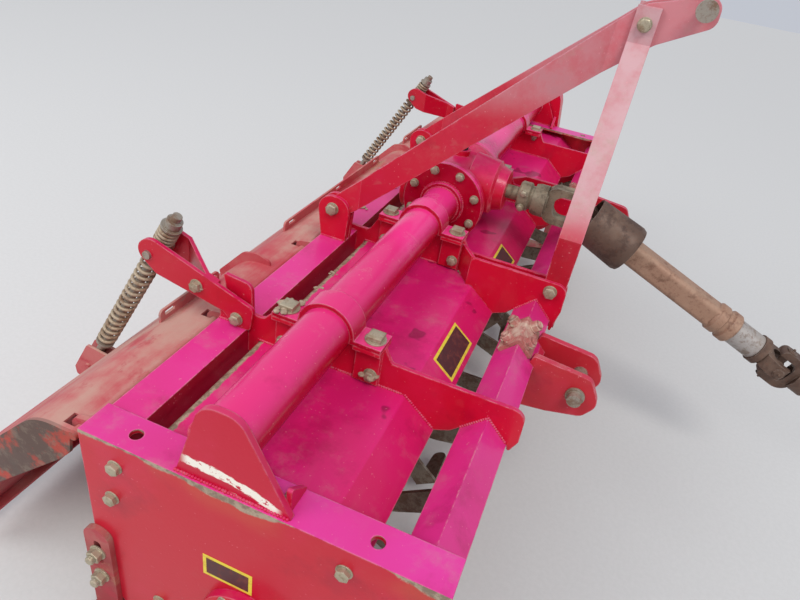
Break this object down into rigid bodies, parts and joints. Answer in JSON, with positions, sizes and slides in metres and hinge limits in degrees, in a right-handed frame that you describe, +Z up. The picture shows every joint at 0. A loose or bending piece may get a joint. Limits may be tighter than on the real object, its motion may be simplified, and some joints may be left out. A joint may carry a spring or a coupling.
{
  "type": "rotary tiller",
  "caption": "Tractor-mounted rotary tiller with a bladed rotor, centre gearbox, sprung levelling board, three-point head frame and its drive shaft, parked on its skids.",
  "frame": {"origin": "on the floor under the middle of the whole part's box", "axes": "+X forward to the tractor, +Y to the machine's left along the rotor, +Z up"},
  "size_m": [1.5948, 2.22, 1.1344],
  "materials": {
    "red_paint": "gloss",
    "faded_paint": "satin",
    "board_steel": "matte",
    "tine_steel": "satin",
    "spring_steel": "matte",
    "rod_steel": "satin",
    "driveline_steel": "matte",
    "sleeve_steel": "satin",
    "worn_steel": "worn",
    "plug_plastic": "matte"
  },
  "bodies": {
    "frame": {"board_lever_left": "red_paint", "board_lever_right": "red_paint", "drive_case": "red_paint", "drive_case_cover": "red_paint", "filler_plug": "plug_plastic", "front_beam": "red_paint", "gearbox_housing": "red_paint", "gearbox_rear_cover": "red_paint", "hinge_brackets": "red_paint", "hitch_clamp_left": "red_paint", "hitch_clamp_right": "red_paint", "hitch_pins": "rod_steel", "hood": "red_paint", "input_yoke": "driveline_steel", "joint_cross": "driveline_steel", "lower_hitch_left": "red_paint", "lower_hitch_right": "red_paint", "main_tube_left": "red_paint", "main_tube_right": "red_paint", "mast_brace_left": "faded_paint", "mast_brace_right": "faded_paint", "mast_upright_left": "faded_paint", "mast_upright_right": "faded_paint", "rear_beam": "red_paint", "rib_inner_left": "red_paint", "rib_inner_right": "red_paint", "rib_outer_left": "red_paint", "rib_outer_right": "red_paint", "rotor_bearing_right": "red_paint", "side_plate_left": "red_paint", "side_plate_right": "red_paint", "skid_left": "worn_steel", "skid_right": "worn_steel", "top_link_pin": "rod_steel", "tube_end_plate_left": "red_paint", "tube_end_plate_right": "red_paint", "tube_straps_left": "red_paint", "tube_straps_right": "red_paint"},
    "rotor": {"rotor_tube": "red_paint", "rotor_discs": "tine_steel", "tines_left_hand": "tine_steel", "tines_right_hand": "tine_steel"},
    "trailing_board": {"trailing_board": "board_steel", "board_bracket_right": "board_steel", "board_bracket_left": "board_steel"},
    "driveshaft": {"shaft_yoke": "driveline_steel", "shaft_bell": "driveline_steel", "shaft_outer_tube": "driveline_steel", "shaft_inner_tube": "sleeve_steel", "rear_yoke": "driveline_steel", "tractor_yoke": "driveline_steel"},
    "trunnion_right": {"trunnion_right": "rod_steel"},
    "rod_right": {"spring_rod_right": "rod_steel", "spring_long_right": "spring_steel", "spring_short_right": "spring_steel"},
    "trunnion_left": {"trunnion_left": "rod_steel"},
    "rod_left": {"spring_rod_left": "rod_steel", "spring_long_left": "spring_steel", "spring_short_left": "spring_steel"}
  },
  "joints": [
    {"name": "rotor_spin", "type": "hinge", "parent": "frame", "child": "rotor", "pos_m": [-0.12656, -0.014, 0.252], "axis": [0, 1, 0], "continuous": true},
    {"name": "board_swing", "type": "hinge", "parent": "frame", "child": "trailing_board", "pos_m": [-0.44256, -0.014, 0.476], "axis": [0, 1, 0], "range_deg": [0, 28]},
    {"name": "driveshaft_tilt", "type": "hinge", "parent": "frame", "child": "driveshaft", "pos_m": [0.13544, -0.014, 0.625], "axis": [0, 1, 0], "range_deg": [-22.7, 15.3]},
    {"name": "trunnion_right_turn", "type": "hinge", "parent": "frame", "child": "trunnion_right", "pos_m": [-0.55256, -0.705, 0.604], "axis": [0, 1, 0], "range_deg": [0, 27.09]},
    {"name": "rod_right_slide", "type": "slide", "parent": "trunnion_right", "child": "rod_right", "axis": [0.4925, 0, 0.8703], "range_m": [0, 0.0821], "deforming": ["spring_long_right"]},
    {"name": "trunnion_left_turn", "type": "hinge", "parent": "frame", "child": "trunnion_left", "pos_m": [-0.55256, 0.677, 0.604], "axis": [0, 1, 0], "range_deg": [0, 27.09]},
    {"name": "rod_left_slide", "type": "slide", "parent": "trunnion_left", "child": "rod_left", "axis": [0.4925, 0, 0.8703], "range_m": [0, 0.0821], "deforming": ["spring_long_left"]}
  ],
  "couplings": [
    {"joint": "trunnion_right_turn", "follows": "board_swing", "ratio": 0.9497},
    {"joint": "rod_right_slide", "follows": "board_swing", "m_per_rad": 0.16603},
    {"joint": "trunnion_left_turn", "follows": "board_swing", "ratio": 0.9497},
    {"joint": "rod_left_slide", "follows": "board_swing", "m_per_rad": 0.16603}
  ]
}
